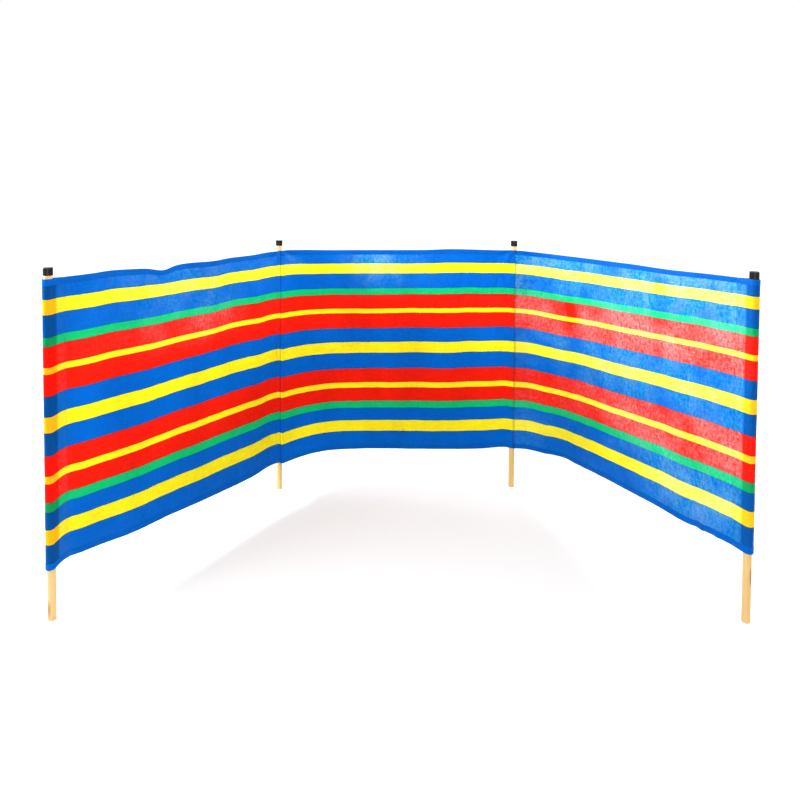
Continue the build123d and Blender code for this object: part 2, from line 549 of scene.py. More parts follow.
end_pocket = {}
for side in ("left", "right"):
    runs = [stop[side][0] + TEARDROP * k / AROUND for k in range(AROUND + 1)]
    end_pocket[side] = lay_grid(
        f"{side}_end_pocket_cloth", side, runs, UPS,
        partial(pocket_point, side), partial(pocket_shine_and_painted_shade, side),
    )
    weld(end_pocket[side])
    thicken(end_pocket[side], CLOTH_THICKNESS)
    smooth(end_pocket[side])

# %% [markdown]
# ## The hems
#
# Along its top and bottom the sheet is turned over and sewn, so there the cloth is doubled. A hem
# is a narrow ribbon that follows the sheet's edge, and goes on round the end pole with the pocket.
# It is a grid only a few rows high, thickened to take in the sheet, with its edges rounded by Bevel.

# %% Make the top and bottom hems
HEM = 22 * MM
HEM_THICKNESS = 1.9 * MM
HEM_ROUNDING = 0.5 * MM
HEM_ROWS = 4
EDGE = 0.8 * MM    # how far a hem stands out past the single sheet's own edge


def hem_point(side, run, up):
    """A point of the hem, along the bay's sheet and then on round its end pole."""
    return cloth_point(side, run, up) if run <= stop[side][0] else pocket_point(side, run, up)


def make_hem(side, which):
    runs = list(columns[side])
    if side != "middle":
        runs += [stop[side][0] + TEARDROP * k / AROUND for k in range(1, AROUND - 1)]
    outer, inner = (0 - EDGE, HEM) if which == "bottom" else (1 + EDGE, 1 - HEM)
    ups = [mix(outer, inner, k / HEM_ROWS) for k in range(HEM_ROWS + 1)]
    ribbon = lay_grid(f"{side}_{which}_hem_ribbon", side, runs, ups, partial(hem_point, side))
    thicken(ribbon, HEM_THICKNESS)
    rounding = dict(segments=2, limit_method="ANGLE", angle_limit=radians(60))
    apply_modifier(ribbon, "BEVEL", width=HEM_ROUNDING, **rounding)
    smooth(ribbon, 50)
    return ribbon


hem = {(side, which): make_hem(side, which) for side in BAYS for which in ("top", "bottom")}

# %% [markdown]
# ## The inner pockets
#
# An inner pole stands behind the sheet, in a strip of the same cloth that is sewn to the sheet's
# back on both sides of the pole. The strip is tight: it leaves the first seam, goes round the back
# of the pole and runs straight to the second seam. From above that is a straight line, an arc and
# another straight line, and the arc begins and ends where the lines just touch the pole.

# %% The line of a strip round the back of its pole
STRIP_RADIUS = 15.4 * MM
# How far along the middle bay the first seam is, the side bay, and how far along that the other is
INNER_SEAM = {"left_inner": (18 * MM, "left", 36 * MM), "right_inner": (20 * MM, "right", 45 * MM)}
NEAR_STEPS, ARC_STEPS, FAR_STEPS = 4, 14, 16


def strip_line(name, up):
    """Points of the strip from its seam on the middle bay to its seam on the side bay."""
    near, side, far = INNER_SEAM[name]
    along = near if side == "left" else BAYS["middle"].span - near
    here, _, _, face = cloth_axes("middle", along, up)
    there, _, _, other_face = cloth_axes(side, far, up)
    a = here - face * CLOTH_THICKNESS - pole_at[name]
    b = there - other_face * CLOTH_THICKNESS - pole_at[name]
    turn = 1 if side == "left" else -1
    first = atan2(a.y, a.x) + turn * acos(STRIP_RADIUS / hypot(a.x, a.y))
    last = atan2(b.y, b.x) - turn * acos(STRIP_RADIUS / hypot(b.x, b.y))
    sweep = (last - first) * turn % (2 * pi) * turn
    angles = [first + sweep * k / ARC_STEPS for k in range(ARC_STEPS + 1)]
    arc = [Vector((STRIP_RADIUS * cos(angle), STRIP_RADIUS * sin(angle), 0)) for angle in angles]
    a.z = b.z = 0
    line = [mix(a, arc[0], k / NEAR_STEPS) for k in range(NEAR_STEPS)] + arc
    line += [mix(arc[-1], b, k / FAR_STEPS) for k in range(1, FAR_STEPS + 1)]
    return [pole_at[name] + point for point in line]


for name in INNER_SEAM:
    print(name, "strip is", round(length_of(strip_line(name, 0.5)) / MM), "mm wide")

# %% Make the inner pockets
STRIP_INSET = 0.003    # the strip stops just inside the sheet's two edges
STRIP_CELL = 4 * MM    # from column to column on the flat strip
inner_pocket = {}
for name, (_, side, _) in INNER_SEAM.items():
    ups = [mix(STRIP_INSET, 1 - STRIP_INSET, up) for up in UPS]
    lines = {inset: strip_line(name, up) for inset, up in zip(ups, UPS)}
    runs = [STRIP_CELL * k for k in range(NEAR_STEPS + ARC_STEPS + 1 + FAR_STEPS)]

    def strip_point(run, up):
        point = lines[up][round(run / STRIP_CELL)]
        along = max(0.0, (point - pole_at[name]).dot(BAYS[side].along))
        return Vector((point.x, point.y, height(side, along, up)))

    inner_pocket[name] = lay_grid(f"{name}_pocket_cloth", side, runs, ups, strip_point)
    thicken(inner_pocket[name], CLOTH_THICKNESS)
    smooth(inner_pocket[name])

# %% [markdown]
# ## Stitching
#
# A lockstitch shows as a row of short dashes of thread on both faces of the cloth. One stitch is a
# cube made long and narrow, deep enough to come through the cloth and show on both faces. An Array
# makes a straight row of them, and the row is then laid along its seam, each stitch turned to lie
# on the cloth. The hems and all pocket seams use the same row.

# %% One stitch, and a row of them laid along a seam
PITCH = 4.6 * MM    # from one stitch to the next
STITCH = (3.4 * MM, 0.3 * MM)    # its length and width


def stitch_row(name, count, thickness, axes):
    """A row of stitches. axes(k) gives the k-th one's place, its run, and the way its cloth faces."""
    bpy.ops.object.select_all(action="DESELECT")
    bpy.ops.mesh.primitive_cube_add(size=1)
    piece = bpy.context.object
    piece.name = piece.data.name = name
    bpy.ops.object.mode_set(mode="EDIT")
    bpy.ops.mesh.select_all(action="SELECT")
    bpy.ops.transform.resize(value=(*STITCH, thickness))
    bpy.ops.object.mode_set(mode="OBJECT")
    apply_modifier(
        piece, "ARRAY", count=count, use_relative_offset=False,
        use_constant_offset=True, constant_offset_displace=(PITCH, 0, 0),
    )
    places = [axes(k) for k in range(count)]
    for vertex in piece.data.vertices:
        k = min(max(round(vertex.co.x / PITCH), 0), count - 1)
        here, run, face = places[k]
        beside = face.cross(run)
        x = vertex.co.x - k * PITCH
        vertex.co = here + run * x + beside * vertex.co.y + face * vertex.co.z
    piece.data.update()
    return piece


print("stitch:", [round(x / MM, 1) for x in STITCH], "mm every", PITCH / MM, "mm")

# %% Sew the hems
SEAM_IN = HEM - 2.5 * MM    # from the sheet's edge to the seam
SEAM_ENDS = 2 * MM    # a hem's seam starts and stops this far from the ends of its sheet
hem_stitches = {}
for side, which in hem:
    up = SEAM_IN if which == "bottom" else 1 - SEAM_IN
    first, last = start[side][0] + SEAM_ENDS, stop[side][0] - SEAM_ENDS
    count = int((last - first) / PITCH) + 1

    def on_hem(k):
        here, ahead, _, face = cloth_axes(side, first + k * PITCH, up)
        return here, ahead, face

    row = stitch_row(f"{side}_{which}_hem_stitches", count, HEM_THICKNESS + 0.02 * MM, on_hem)
    hem_stitches[side, which] = row
print(sum(len(row.data.polygons) for row in hem_stitches.values()) // 6, "hem stitches")

# %% Sew the pockets
END_SEAM, INNER_SEAMS = 1.28 * MM, 1.92 * MM    # how deep their stitches go
left_near, _, left_far = INNER_SEAM["left_inner"]
right_near, _, right_far = INNER_SEAM["right_inner"]
POCKET_SEAMS = {
    "left_end_pocket_stitches": ("left", stop["left"][0] - 1.5 * MM, END_SEAM),
    "right_end_pocket_stitches": ("right", stop["right"][0] - 1.5 * MM, END_SEAM),
    "left_inner_stitches_left": ("left", left_far - 2 * MM, INNER_SEAMS),
    "left_inner_stitches_middle": ("middle", left_near + 1 * MM, INNER_SEAMS),
    "right_inner_stitches_middle": ("middle", BAYS["middle"].span - right_near - 1 * MM, INNER_SEAMS),
    "right_inner_stitches_right": ("right", right_far - 2 * MM, INNER_SEAMS),
}
CLEAR = 5 * MM    # a pocket's seam starts this far above the bottom hem's edge
pocket_stitches = {}
for name, (side, along, thickness) in POCKET_SEAMS.items():
    tall = height(side, along, 1) - height(side, along, 0)
    count = int((tall - 2 * CLEAR) / PITCH)

    def on_seam(k):
        here, _, upward, face = cloth_axes(side, along, (CLEAR + (k + 0.5) * PITCH) / tall)
        return here, upward, face

    pocket_stitches[name] = stitch_row(name, count, thickness, on_seam)
print({name: len(row.data.polygons) // 6 for name, row in pocket_stitches.items()})

# %% [markdown]
# ## Materials
#
# The cloth is woven from flat plastic tapes and pressed under a thin clear film, which is why it
# shines like a sweet wrapper and shows every crinkle. Pictures could give it all that, but a picture
# has only so many dots, and nodes stay sharp from near by. They are built as node groups, because
# the sheet, the doubled hems and the pockets all use them. A few helpers keep the nodes short.

# %% Adding nodes and linking them
def set_up(node, **settings):
    """Roughness=0.5 or in_7=... sets an input, and blend_type=... a setting of the node."""
    for name, value in settings.items():
        if name.startswith("in_"):
            node.inputs[int(name[3:])].default_value = value
        elif name[0].isupper():
            node.inputs[name.replace("_", " ")].default_value = value
        else:
            setattr(node, name, value)


def add(tree, kind, **settings):
    node = tree.nodes.new("ShaderNode" + kind)
    set_up(node, **settings)
    return node


def feed(tree, *pairs):
    """Feeds each second thing, a socket, with the one before it.

    That is a plain value, another node's socket, or a node, whose first output is then meant.
    """
    for value, socket in zip(pairs[::2], pairs[1::2]):
        if isinstance(value, bpy.types.Node):
            value = value.outputs[0]
        if isinstance(value, bpy.types.NodeSocket):
            tree.links.new(value, socket)
        else:
            socket.default_value = value


print("an input's name, as in Base_Color, or its number, as in in_7")


# %% Sums, colours, relief and noise
def calc(tree, operation, *values, clamp=False):
    """A Math node, as in calc(tree, "ADD", 1, other_node)."""
    node = add(tree, "Math", operation=operation, use_clamp=clamp)
    for value, socket in zip(values, node.inputs):
        feed(tree, value, socket)
    return node.outputs[0]


def times(tree, a, b, clamp=False):
    return calc(tree, "MULTIPLY", a, b, clamp=clamp)


def fit(tree, value, factor, offset, clamp=False):
    """value * factor + offset: a value brought into the range that is wanted."""
    return calc(tree, "MULTIPLY_ADD", value, factor, offset, clamp=clamp)


def mix_colours(tree, part, a, b, way="MIX"):
    """Colour a where part is 0, and a mixed with b in the way that is asked for where it is 1."""
    node = add(tree, "Mix", data_type="RGBA", blend_type=way)
    feed(tree, part, node.inputs[0], a, node.inputs[6], b, node.inputs[7])
    return node.outputs[2]


def relief(tree, height, strength, distance, onto):
    """Bumps from a height, fed to the Normal of a shader or of a finer relief that goes on top."""
    node = add(tree, "Bump", Strength=strength, Distance=distance)
    feed(tree, height, node.inputs["Height"], node, onto.inputs["Normal"])
    return node


def stretched_noise(tree, source, scale, seed, **settings):
    """Noise with a scale of its own each way: two ways on flat cloth, three in solid wood."""
    flat = len(scale) == 2
    place = (seed, seed * 0.37, 0) if flat else (seed, seed, seed)
    mapping = add(tree, "Mapping", Scale=(*scale, 1)[:3], Location=place)
    texture = add(tree, "TexNoise", noise_dimensions="2D" if flat else "3D", Scale=1.0, **settings)
    feed(tree, source, mapping.inputs[0], mapping, texture.inputs["Vector"])
    return texture.outputs[0]


def parts_of(tree, vector):
    split = add(tree, "SeparateXYZ")
    feed(tree, vector, split.inputs[0])
    return split.outputs


print("noise scales are in bumps a metre, so 450 makes one every", round(1000 / 450, 1), "mm")


# %% New groups and new materials
def new_group(name, inputs, outputs):
    """An empty node group. A number input, or Float, also says what it starts at."""
    group = bpy.data.node_groups.new(name, "ShaderNodeTree")
    for label, kind, *value in inputs:
        socket = group.interface.new_socket(label, in_out="INPUT", socket_type=f"NodeSocket{kind}")
        if value:
            socket.default_value = value[0]
    for label, kind in outputs:
        group.interface.new_socket(label, in_out="OUTPUT", socket_type=f"NodeSocket{kind}")
    given, made = (group.nodes.new(f"NodeGroup{end}") for end in ("Input", "Output"))
    return group, given.outputs, made.inputs


def new_material(name):
    material = bpy.data.materials.new(name)
    material.use_nodes = True
    tree = material.node_tree
    tree.nodes.clear()
    shader = add(tree, "BsdfPrincipled")
    feed(tree, shader, add(tree, "OutputMaterial").inputs[0])
    return material, tree, shader


print("groups so far:", len(bpy.data.node_groups))

# %% [markdown]
# ### The weave
#
# In a plain weave each tape goes over one and under the next. Over a flat map that is a chessboard:
# on one colour the upright tape is on top and its rounded back shows, on the other the level one.

# %% Node group: plain weave of flat tapes
weave, given, made = new_group(
    "plain tape weave",
    [("Cloth", "Vector"), ("Tape", "Float", 0.0022)],
    [("Height", "Float"), ("Tone", "Float")],
)
flat_x, flat_y, _ = parts_of(weave, given["Cloth"])
tape_places = [calc(weave, "DIVIDE", way, given["Tape"]) for way in (flat_x, flat_y)]
cells = calc(weave, "ADD", *(calc(weave, "FLOOR", place) for place in tape_places))
which_tape = calc(weave, "PINGPONG", cells, 1.0)
backs = []
for place in tape_places:
    middle = calc(weave, "SUBTRACT", calc(weave, "FRACT", place), 0.5)
    backs.append(fit(weave, times(weave, middle, middle), -4.0, 1.0))
on_top = times(weave, backs[0], which_tape)
beneath = times(weave, backs[1], calc(weave, "SUBTRACT", 1.0, which_tape))
feed(weave, calc(weave, "ADD", on_top, beneath), made["Height"])
feed(weave, fit(weave, which_tape, 0.03, 0.985), made["Tone"])
print(weave.name, len(weave.nodes), "nodes")

# %% [markdown]
# ### The crinkled film
#
# The film creases sharply where it has been folded, in lines that run mostly up the cloth, and it
# is fuller of creases in some patches than in others. Ridged noise draws the sharp lines, plain
# noise the softer dents, and one very broad noise decides where there are more of them. Creases from
# being rolled up are long upright lines, drawn where a slow noise passes its middle value.

# %% Node group: crinkled film
crinkle, given, made = new_group(
    "crinkled film",
    [("Cloth", "Vector"), ("Patchiness", "Float", 1.0)],
    [("Height", "Float"), ("Patches", "Float")],
)


def film_noise(scale, seed, **settings):
    return stretched_noise(crinkle, given["Cloth"], scale, seed, **settings)


patch = fit(crinkle, film_noise((3.2, 2.4), 4.0, Detail=3.0, Roughness=0.6), 3.2, -1.1, clamp=True)
dents = film_noise((34, 22), 9.0, Detail=5.0, Roughness=0.62, Distortion=0.5)
ridged = dict(noise_type="RIDGED_MULTIFRACTAL", Detail=4.0, Roughness=0.55, Distortion=0.4)
creases = film_noise((26, 9), 2.0, **ridged)
fine = film_noise((170, 110), 6.0, Detail=3.0, Roughness=0.6)

rolled = film_noise((12, 0.35), 5.0, Detail=1.0, Roughness=0.3)
away = calc(crinkle, "ABSOLUTE", calc(crinkle, "SUBTRACT", rolled, 0.5))
line = fit(crinkle, away, -45.0, 1.0, clamp=True)
fades = film_noise((7, 9), 1.5, Detail=2.0)
line = times(crinkle, line, fit(crinkle, fades, 5.0, -2.2, clamp=True))

bumps = fit(crinkle, fine, 0.20, fit(crinkle, creases, 0.35, dents))
bumps = times(crinkle, bumps, fit(crinkle, patch, given["Patchiness"], 0.45))
feed(crinkle, fit(crinkle, line, -0.10, bumps), made["Height"], patch, made["Patches"])
print(crinkle.name, len(crinkle.nodes), "nodes")

# %% [markdown]
# ### The stripes
#
# The stripes are woven in, so their widths are fixed on the flat cloth: they mirror about the
# middle yellow one, with the widest blue at the bottom. A Color Ramp set to Constant holds them
# all: it reads the height on the flat cloth, where 0 is the bottom hem and 1 the top.

# %% The stripes, from the top hem down
BLUE, YELLOW = (0.0, 0.114, 0.53, 1), (0.98, 0.81, 0.012, 1)
GREEN, RED = (0.005, 0.49, 0.15, 1), (0.86, 0.011, 0.003, 1)
STRIPES = (
    (BLUE, 67), (YELLOW, 54), (BLUE, 73), (GREEN, 32), (RED, 70), (YELLOW, 21), (RED, 75), (BLUE, 70),
    (YELLOW, 55),
    (BLUE, 78), (RED, 72), (YELLOW, 26), (RED, 65), (GREEN, 35), (BLUE, 66), (YELLOW, 54), (BLUE, 87),
)
print(len(STRIPES), "stripes,", sum(width for _, width in STRIPES), "mm")


def fill_stripes(ramp):
    ramp.interpolation = "CONSTANT"
    up = 0.0
    for k, (colour, width) in enumerate(reversed(STRIPES)):
        element = ramp.elements[0] if k == 0 else ramp.elements.new(min(up, 0.9999))
        element.position = up
        element.color = colour
        up += width * MM
    while len(ramp.elements) > len(STRIPES):
        ramp.elements.remove(ramp.elements[-1])


# %% [markdown]
# Where two stripes meet, the last tapes of one colour still cross the first of the other, so a
# narrow line is darker than both. Two ramps a little apart, mixed by Darken, give that line. The
# height that they read is shaken slightly, so that an edge wavers and steps from tape to tape.

# %% Node group: stripes, with the two colours crossing where they meet
CROSSING = 0.0007    # the two ramps are this far below and above the middle of an edge
SHAKEN = 0.0033    # what the two noises add to the height, taken off again
stripes, given, made = new_group("woven stripes", [("Cloth", "Vector")], [("Color", "Color")])
waver = stretched_noise(stripes, given["Cloth"], (9, 3), 1.0, Detail=2.0)
step = stretched_noise(stripes, given["Cloth"], (450, 40), 7.0, Detail=1.0)
shift = fit(stripes, waver, 0.0050, parts_of(stripes, given["Cloth"])[1])
shift = fit(stripes, step, 0.0016, shift)
ramps = [add(stripes, "ValToRGB") for _ in range(2)]
for ramp, offset in zip(ramps, (-SHAKEN - CROSSING, -SHAKEN + CROSSING)):
    fill_stripes(ramp.color_ramp)
    feed(stripes, calc(stripes, "ADD", shift, offset), ramp.inputs[0])
feed(stripes, mix_colours(stripes, 1.0, *ramps, "DARKEN"), made["Color"])
print(stripes.name, len(stripes.nodes), "nodes")

# %% [markdown]
# ### Tone and gloss
#
# No two tapes are quite the same tone, and a painted shade makes the cloth darker inside the sharp
# folds at the inner poles. The film over it does two things to the light. Its crinkles throw a thin
# pale haze back, and that is painted into the colour as a paler, cyan-white tone where the film
# shines: a painted sheen. And it shines, in clouds made of streaks and small bright crinkles. A
# second glossy shader could do that, but Principled has a coat of its own, so for that this group
# only works out the coat's weight.

# %% Node group: the tone of the tapes, and painted shade in the folds
FOLD_SHADE = 5 * MM    # how far the shade of a fold at an inner pole reaches
tree, given, made = new_group(
    "cloth tone and gloss",
    [
        ("Cloth", "Vector"), ("Stripes", "Color"), ("Tint", "Color"),
        ("Tape tone", "Float", 1.0), ("Shine", "Float", 0.0), ("Crease shade", "Float", 0.0),
    ],
    [("Color", "Color"), ("Coat Weight", "Float")],
)
cloth_look = tree


def look_noise(scale, seed, **settings):
    return stretched_noise(tree, given["Cloth"], scale, seed, **settings)


level = look_noise((14, 260), 3.0, Detail=3.0)
shade = fit(tree, look_noise((150, 9), 8.0, Detail=3.0), 0.08, fit(tree, level, 0.30, 0.81))
broad = look_noise((5.5, 1.6), 14.0, Detail=2.0)
shade = fit(tree, broad, 0.36, calc(tree, "ADD", shade, -0.18))
shade = times(tree, shade, given["Tape tone"])
flat_x = parts_of(tree, given["Cloth"])[0]
# Painted shade: a narrow line in the fold at each inner pole is drawn darker
for side, end_of_middle in (("left", start["middle"][0]), ("right", stop["middle"][0])):
    ends = cloth_place(side, start[side][0]), cloth_place("middle", end_of_middle)
    off = calc(tree, "ABSOLUTE", calc(tree, "ADD", flat_x, -sum(ends) / 2))
    off = calc(tree, "ADD", off, -abs(ends[1] - ends[0]) / 2)
    painted_fold_shade = times(tree, fit(tree, off, -1 / FOLD_SHADE, 1.0, clamp=True), given["Crease shade"])
    shade = times(tree, shade, calc(tree, "SUBTRACT", 1.0, painted_fold_shade))
grey = add(tree, "CombineColor")
for channel in grey.inputs:
    feed(tree, shade, channel)
toned = mix_colours(tree, 1.0, given["Stripes"], grey, "MULTIPLY")
toned = mix_colours(tree, 1.0, toned, given["Tint"], "MULTIPLY")
print("tone of the tapes:", len(cloth_look.nodes), "nodes")

# %% The same group: a painted sheen, the film's pale haze drawn paler in fine streaks
fine = look_noise((95, 60), 23.0, Detail=4.0, Roughness=0.75)
painted_sheen = times(tree, fit(tree, fine, 3.2, -1.1, clamp=True), fit(tree, level, 1.6, 0.2))
painted_sheen = times(tree, painted_sheen, times(tree, given["Shine"], 0.23))
feed(tree, mix_colours(tree, painted_sheen, toned, (0.08, 1.0, 1.0, 1)), made["Color"])
print("with the haze:", len(cloth_look.nodes), "nodes")

# %% The same group: the film's shine, in clouds of streaks and crinkles
clouds = look_noise((11, 8), 12.0, Detail=3.0, Distortion=0.6)
streaks = look_noise((70, 34), 17.0, Detail=6.0, Roughness=0.7, Distortion=0.4)
specks = look_noise((260, 200), 6.0, Detail=2.0)
cloudy = calc(tree, "ADD", fit(tree, clouds, 3.4, -1.9), -1.35)
cloudy = fit(tree, streaks, 4.2, cloudy, clamp=True)
bright = times(tree, fit(tree, specks, 7.0, -3.9, clamp=True), fit(tree, clouds, 4.0, -1.8, clamp=True))
gloss = fit(tree, cloudy, 0.62, fit(tree, bright, 1.0, 0.04))
feed(tree, times(tree, gloss, given["Shine"], clamp=True), made["Coat Weight"])
print("with the shine:", len(cloth_look.nodes), "nodes")

# %% [markdown]
# ### The cloth
#
# The four groups come together in one material, which is made three times: for the single sheet,
# for the doubled hems, and for the pockets. The hems get a painted shade, a little darker, for the
# light that comes through less where the cloth is doubled, and the pockets a darker painted shade
# again where a pole stands behind them. The shine that was stored on each mesh's points says how
# strong the coat is, and which of the two painted shade tints is used.

# %% The cloth's material
def make_cloth(name, painted_shade_where_glossy, painted_shade_where_dull, patchiness, coat, crease_shade=0.0):
    """The first tint is the painted shade where the film shines, the second the painted shade for the rest of
    it: doubled cloth and cloth round a pole are drawn darker, for the light that comes through them less.
    """
    material, tree, shader = new_material(name)
    cloth = add(tree, "UVMap", uv_map="UVMap")
    pattern, tapes, film, look = (
        add(tree, "Group", node_tree=group) for group in (stripes, weave, crinkle, cloth_look)
    )
    for group in (pattern, tapes, film, look):
        feed(tree, cloth, group.inputs["Cloth"])
    set_up(film, Patchiness=patchiness)
    set_up(look, Crease_shade=crease_shade)

    shiny = add(tree, "Attribute", attribute_name="shine").outputs["Fac"]
    painted_shade_tints = mix_colours(tree, times(tree, shiny, 12.0, clamp=True), (*painted_shade_where_dull, 1), (*painted_shade_where_glossy, 1))
    feed(tree, pattern, look.inputs["Stripes"], painted_shade_tints, look.inputs["Tint"])
    feed(tree, tapes.outputs["Tone"], look.inputs["Tape tone"])
    feed(tree, times(tree, shiny, coat), look.inputs["Shine"])
    feed(tree, look.outputs["Color"], shader.inputs["Base Color"])
    feed(tree, look.outputs["Coat Weight"], shader.inputs["Coat Weight"])
    feed(tree, fit(tree, film.outputs["Patches"], 0.10, 0.38), shader.inputs["Roughness"])
    set_up(shader, Coat_Roughness=0.42, Coat_IOR=1.9, Specular_IOR_Level=0.03)
    tape_relief = relief(tree, tapes.outputs["Height"], 0.3, 0.12 * MM, shader)
    relief(tree, film.outputs["Height"], 0.9, 6.0 * MM, tape_relief)
    return material


single_cloth = make_cloth("striped cloth", (1, 1, 1), (1, 1, 1), 1.0, 1.0, 0.4)
# Painted shade: the hems are tinted a little darker, and the pockets much darker round their pole
doubled_cloth = make_cloth("striped cloth, doubled", (1, 1, 1), (0.93, 0.88, 0.86), 0.5, 0.0, 0.4)
pocket_cloth = make_cloth("striped cloth, over a pole", (0.98, 0.90, 0.88), (0.93, 0.50, 0.44), 0.6, 1.0)
print(single_cloth.name, len(single_cloth.node_tree.nodes), "nodes")

# %% [markdown]
# ### Thread
#
# The thread is dull blue polyester, twisted from thin yarns. At this size its twist is only a fine
# slanting ripple, which a wave texture gives.

# %% The thread's material
thread, tree, shader = new_material("blue thread")
twist = add(tree, "TexWave", wave_type="BANDS", bands_direction="DIAGONAL", Scale=900)
feed(tree, add(tree, "TexCoord").outputs["Object"], twist.inputs["Vector"])
twist = twist.outputs[1]
colour = mix_colours(tree, twist, (0.003, 0.02, 0.12, 1), (0.008, 0.05, 0.24, 1))
feed(tree, colour, shader.inputs["Base Color"])
relief(tree, twist, 0.4, 0.1 * MM, shader)
set_up(shader, Roughness=0.6)
print(thread.name, len(tree.nodes), "nodes")

# %% [markdown]
# ### Pine
#
# The poles are planed from pale pine. A log's rings become long streaks along a pole and rings on
# its end, so the texture is rings about a line far off to one side of the pole, bent by noise that
# is stretched along it. A knot is a dark spot that the streaks swerve round. Each pole gets its own
# copy of the material, centred on its own axis and turned its own way, so no two match.

# %% Node group: pine grain, and its knots
pine, given, made = new_group(
    "pine grain",
    [("Place", "Vector"), ("Ring width", "Float", 0.0035)],
    [("Color", "Color"), ("Height", "Float"), ("Roughness", "Float")],
)
place = given["Place"]
knot_space = add(pine, "Mapping", Scale=(30, 30, 5.5))
knots = add(pine, "TexVoronoi", feature="F1", Scale=1.0)
feed(pine, place, knot_space.inputs[0], knot_space, knots.inputs["Vector"])
knot = fit(pine, knots.outputs["Distance"], -6.5, 1.7, clamp=True)
swerve = times(pine, stretched_noise(pine, place, (18, 18, 1.6), 3.0, Detail=3.0), 0.011)
swerve = fit(pine, knot, 0.006, swerve)
print("knots and the swerve round them:", len(pine.nodes), "nodes")

# %% The same group: rings about the log's heart, fibres and blotches
across, forward, _ = parts_of(pine, place)
HEART_OFF = 0.045    # how far beside the pole the middle of its log was
across = calc(pine, "ADD", across, HEART_OFF)
squares = calc(pine, "ADD", times(pine, across, across), times(pine, forward, forward))
ring = calc(pine, "ADD", calc(pine, "SQRT", squares), swerve)
ring = calc(pine, "DIVIDE", ring, given["Ring width"])
late_wood = calc(pine, "POWER", calc(pine, "FRACT", ring), 3.0)
fibres = stretched_noise(pine, place, (900, 900, 22), 8.0, Detail=3.0, Roughness=0.7)
blotches = stretched_noise(pine, place, (25, 25, 6), 5.0, Detail=3.0)
darkness = fit(pine, late_wood, 0.42, fit(pine, fibres, 0.42, -0.10))
darkness = fit(pine, blotches, 0.30, calc(pine, "ADD", darkness, -0.13), clamp=True)
ramp = add(pine, "ValToRGB")
ramp.color_ramp.elements[0].color = (0.80, 0.52, 0.20, 1)
ramp.color_ramp.elements[1].color = (0.55, 0.26, 0.065, 1)
feed(pine, darkness, ramp.inputs[0])
feed(pine, mix_colours(pine, knot, ramp, (0.30, 0.12, 0.035, 1)), made["Color"])
feed(pine, fit(pine, late_wood, 0.4, fibres), made["Height"])
feed(pine, fit(pine, fibres, 0.2, 0.48), made["Roughness"])
print(pine.name, len(pine.nodes), "nodes")


# %% Put pine on the poles
def paint(node, material):
    """Gives a ready-made piece its material."""
    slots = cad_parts[node].material_slots
    if len(slots):
        slots[0].material = material
    else:
        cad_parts[node].data.materials.append(material)


for k, name in enumerate(POLES):
    material, tree, shader = new_material(f"pine {k + 1}")
    along_log = pole_at[name] + Vector((0, 0, 0.41 * k + 0.22))
    turned = (0.0, 0.0, 1.9 * k + 0.6)
    centred = add(tree, "Mapping", vector_type="TEXTURE", Location=along_log, Rotation=turned)
    grain = add(tree, "Group", node_tree=pine)
    feed(tree, add(tree, "TexCoord").outputs["Object"], centred.inputs[0], centred, grain.inputs["Place"])
    for socket, target in (("Color", "Base Color"), ("Roughness", "Roughness")):
        feed(tree, grain.outputs[socket], shader.inputs[target])
    relief(tree, grain.outputs["Height"], 0.35, 0.25 * MM, shader)
    paint(f"{name}_pole", material)
print("four poles of pine")

# %% [markdown]
# ### Black plastic
#
# The caps are moulded in black plastic, glossy but not perfect: faint orange peel in the surface,
# small scuffs that take the gloss off in places, and a little pale dust.

# %% Put black plastic on the caps
cap_plastic, tree, shader = new_material("black cap plastic")
coords = add(tree, "TexCoord").outputs["Object"]
peel = add(tree, "TexNoise", Scale=700, Detail=2.0)
scuffs = add(tree, "TexNoise", Scale=180, Detail=6.0, Roughness=0.7)
feed(tree, coords, peel.inputs["Vector"], coords, scuffs.inputs["Vector"])
worn = fit(tree, scuffs, 4.0, -2.2, clamp=True)
dusty = mix_colours(tree, worn, (0.004, 0.004, 0.004, 1), (0.020, 0.020, 0.019, 1))
feed(tree, dusty, shader.inputs["Base Color"], fit(tree, worn, 0.25, 0.24), shader.inputs["Roughness"])
relief(tree, peel, 0.15, 0.2 * MM, shader)
set_up(shader, Specular_IOR_Level=0.15)
for name in POLES:
    paint(f"{name}_cap", cap_plastic)
print(cap_plastic.name, len(tree.nodes), "nodes")

# %% Put cloth and thread on the new pieces
def cover(piece, material):
    piece.data.materials.clear()
    piece.data.materials.append(material)


for piece in sheet.values():
    cover(piece, single_cloth)
for piece in [*end_pocket.values(), *inner_pocket.values()]:
    cover(piece, pocket_cloth)
for piece in hem.values():
    cover(piece, doubled_cloth)
for piece in [*hem_stitches.values(), *pocket_stitches.values()]:
    cover(piece, thread)
print("covered", len(sheet) + len(end_pocket) + len(inner_pocket) + len(hem), "pieces of cloth")

# %% [markdown]
# ## Moving
#
# The side bays fold about the inner poles. The end pockets, the middle bay's sheet and hems and the
# pockets' stitches are attached to the bay they belong to. The side bays' sheets and hems and the
# cloth that goes round an inner pole are not bent here: bend() only bakes their place into their meshes.

# %% Attach pieces to their bays, and bake the place of the cloth at the inner poles
BEND = {"left": 30 * MM, "right": 36 * MM}    # the cloth belongs to the side bay from here on


def bend(piece, side, first, last):
    BAYS[side].at(first, 0)
    BAYS[side].at(last, 0)
    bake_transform(piece)


def hems_of(side):
    """A bay's two hems and their two rows of stitches."""
    return [pieces[side, which] for pieces in (hem, hem_stitches) for which in ("top", "bottom")]


